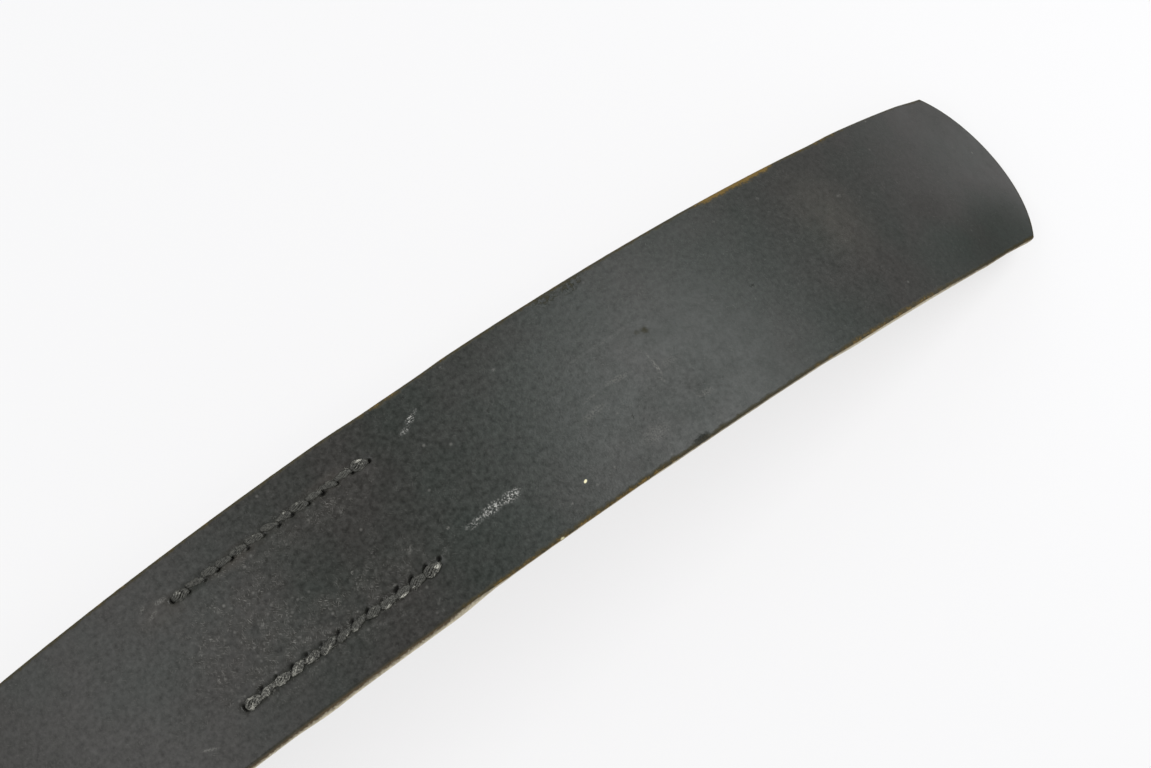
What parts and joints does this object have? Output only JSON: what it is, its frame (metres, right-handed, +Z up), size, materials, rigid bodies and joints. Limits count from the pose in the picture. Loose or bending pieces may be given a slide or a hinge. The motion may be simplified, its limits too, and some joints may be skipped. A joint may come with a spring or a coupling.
{
  "type": "leather combat belt",
  "caption": "Black leather waist belt with a round tip, a stitched-on size tongue inside and a metal hook, laid out with its tip end arched.",
  "frame": {"origin": "on the surface that the belt lies on, under the middle of its length and width", "axes": "+X along the belt towards its round tip, +Y across the belt, +Z up"},
  "size_m": [0.9916, 0.045, 0.079],
  "materials": {
    "black_leather": "smooth grain leather dyed black, satin, worn, with tan raw edges",
    "natural_leather": "undyed vegetable-tanned leather, darkened by use",
    "steel": "plain stamped steel, dull grey"
  },
  "bodies": {
    "root": {"strap": "black_leather", "tongue": "natural_leather", "hook": "steel"}
  },
  "joints": []
}
